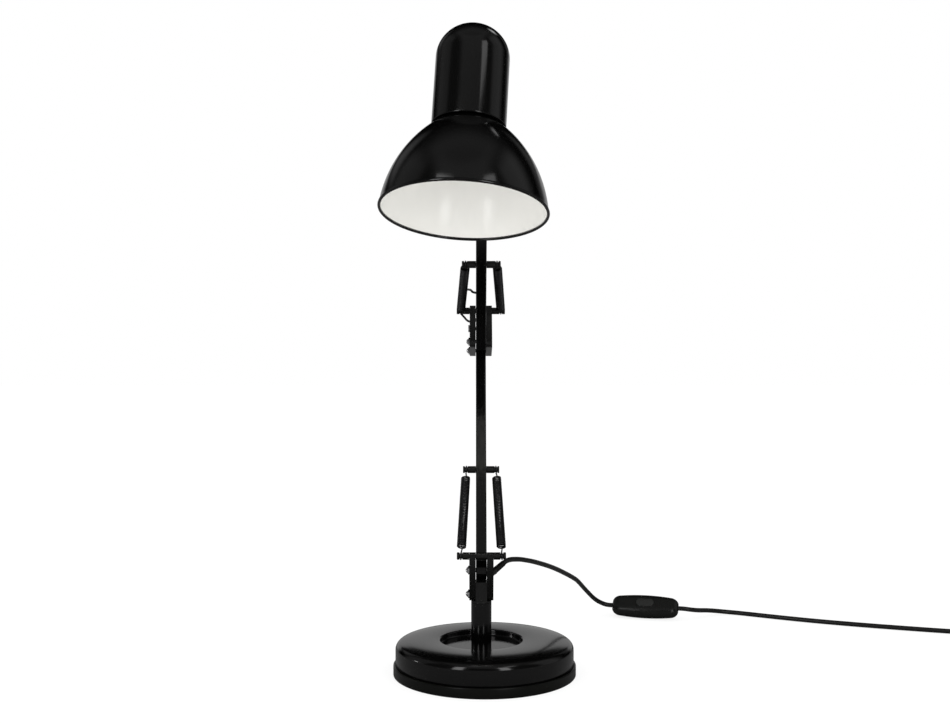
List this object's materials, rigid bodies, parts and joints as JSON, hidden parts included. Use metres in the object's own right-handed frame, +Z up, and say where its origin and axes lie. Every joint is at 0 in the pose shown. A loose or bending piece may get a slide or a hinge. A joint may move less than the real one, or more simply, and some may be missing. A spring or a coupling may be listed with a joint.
{
  "type": "desk lamp",
  "caption": "Spring balanced desk lamp with two parallel arms, a bell shade, a round weighted base and a switched mains cord.",
  "frame": {"origin": "on the post's axis, at table level", "axes": "+Z up; the lamp faces -Y; +X is the viewer's right, where the mains cord leaves"},
  "size_m": [0.6924, 0.4716, 0.5714],
  "materials": {
    "gloss_black_paint": "gloss enamel",
    "satin_black_paint": "satin",
    "cast_weight": "as cast",
    "pad_rubber": "matte",
    "plated_steel": "dull plating",
    "bright_nuts": "bright plating",
    "black_plates": "semi gloss",
    "spring_wire": "blackened",
    "bush_plastic": "black, smooth",
    "black_plastic": "fine grain",
    "holder_plastic": "black, smooth",
    "contact_brass": "bright",
    "cord_sheath": "satin",
    "thin_lead": "satin",
    "tie_plastic": "smooth",
    "pin_metal": "bright plating"
  },
  "bodies": {
    "base": {"base_cover": "gloss_black_paint", "base_rim": "satin_black_paint", "base_weight": "cast_weight", "base_pad": "pad_rubber", "post_tube": "gloss_black_paint", "post_nut": "plated_steel", "swivel_bushes": "bush_plastic"},
    "turret": {"swivel_pin": "black_plates", "turret_plate_left": "black_plates", "turret_plate_right": "black_plates", "turret_bolts": "bright_nuts", "turret_anchor": "satin_black_paint", "cord_gland": "black_plastic", "cord_lead": "cord_sheath", "switch_base": "black_plastic", "switch_cover": "black_plastic", "cord_tail": "cord_sheath", "cord_coil": "cord_sheath", "coil_tie": "tie_plastic", "plug_body": "black_plastic", "plug_pins": "pin_metal"},
    "lower_arm": {"lower_front_bar": "gloss_black_paint", "lower_front_bushes": "bush_plastic", "lower_crossbar": "satin_black_paint", "lower_lead": "thin_lead", "lower_spring_left": "spring_wire", "lower_spring_right": "spring_wire"},
    "lower_link": {"lower_rear_bar": "gloss_black_paint", "lower_rear_bushes": "bush_plastic"},
    "elbow": {"elbow_plate_left": "black_plates", "elbow_plate_right": "black_plates", "elbow_bolts": "bright_nuts", "elbow_anchor": "satin_black_paint"},
    "upper_arm": {"upper_front_bar": "gloss_black_paint", "upper_front_bushes": "bush_plastic", "upper_crossbar": "satin_black_paint", "upper_lead": "thin_lead", "elbow_lead": "thin_lead", "upper_spring_left": "spring_wire", "upper_spring_right": "spring_wire"},
    "upper_link": {"upper_rear_bar": "gloss_black_paint", "upper_rear_bushes": "bush_plastic"},
    "head_bracket": {"head_plate_left": "black_plates", "head_plate_right": "black_plates", "head_bolts": "bright_nuts", "head_socket": "black_plates"},
    "yoke": {"head_stud": "plated_steel", "stud_clip": "plated_steel"},
    "head": {"cap_housing": "gloss_black_paint", "bell_shade": "gloss_black_paint", "cap_bracket": "satin_black_paint", "bracket_rivets": "plated_steel", "tilt_bolt": "plated_steel", "holder_body": "holder_plastic", "holder_ring": "holder_plastic", "holder_contacts": "contact_brass", "cap_grommet": "black_plastic", "head_lead": "thin_lead"},
    "wing_nut": {"wing_nut": "black_plastic"},
    "rocker": {"switch_rocker": "black_plastic"}
  },
  "joints": [
    {"name": "base_swivel", "type": "hinge", "parent": "base", "child": "turret", "pos_m": [0, 0, 0.068], "axis": [0, 0, 1], "range_deg": [-170, 170]},
    {"name": "lower_arm", "type": "hinge", "parent": "turret", "child": "lower_arm", "pos_m": [0, -0.004, 0.0967], "axis": [1, 0, 0], "range_deg": [-11, 33], "deforming": ["lower_spring_left", "lower_spring_right"]},
    {"name": "lower_link", "type": "hinge", "parent": "turret", "child": "lower_link", "pos_m": [0, 0.014, 0.0742], "axis": [1, 0, 0], "range_deg": [-11, 33]},
    {"name": "elbow_level", "type": "hinge", "parent": "lower_arm", "child": "elbow", "pos_m": [0, 0.10165, 0.32328], "axis": [1, 0, 0], "range_deg": [-33, 11]},
    {"name": "upper_arm", "type": "hinge", "parent": "elbow", "child": "upper_arm", "pos_m": [0, 0.07365, 0.30978], "axis": [1, 0, 0], "range_deg": [-12, 58], "deforming": ["upper_spring_left", "upper_spring_right", "elbow_lead"]},
    {"name": "upper_link", "type": "hinge", "parent": "elbow", "child": "upper_link", "pos_m": [0, 0.08765, 0.33178], "axis": [1, 0, 0], "range_deg": [-12, 58]},
    {"name": "head_level", "type": "hinge", "parent": "upper_arm", "child": "head_bracket", "pos_m": [0, -0.08024, 0.4807], "axis": [1, 0, 0], "range_deg": [-58, 12]},
    {"name": "head_swivel", "type": "hinge", "parent": "head_bracket", "child": "yoke", "pos_m": [0, -0.09025, 0.4952], "axis": [0, 0, 1], "range_deg": [-47, 73]},
    {"name": "head_tilt", "type": "hinge", "parent": "yoke", "child": "head", "pos_m": [0, -0.09025, 0.5152], "axis": [-0.9744, 0.225, 0], "range_deg": [-14, 76], "deforming": ["head_lead"]},
    {"name": "wing_nut", "type": "hinge", "parent": "head", "child": "wing_nut", "pos_m": [0, -0.09025, 0.5152], "axis": [-0.9744, 0.225, 0], "range_deg": [-180, 180]},
    {"name": "rocker", "type": "hinge", "parent": "turret", "child": "rocker", "pos_m": [0.18541, 0.22595, 0.01627], "axis": [0.1853, 0.7433, 0.6428], "range_deg": [-7, 7]}
  ],
  "couplings": [
    {"joint": "lower_link", "follows": "lower_arm", "ratio": 1},
    {"joint": "elbow_level", "follows": "lower_arm", "ratio": -1},
    {"joint": "upper_link", "follows": "upper_arm", "ratio": 1},
    {"joint": "head_level", "follows": "upper_arm", "ratio": -1}
  ]
}
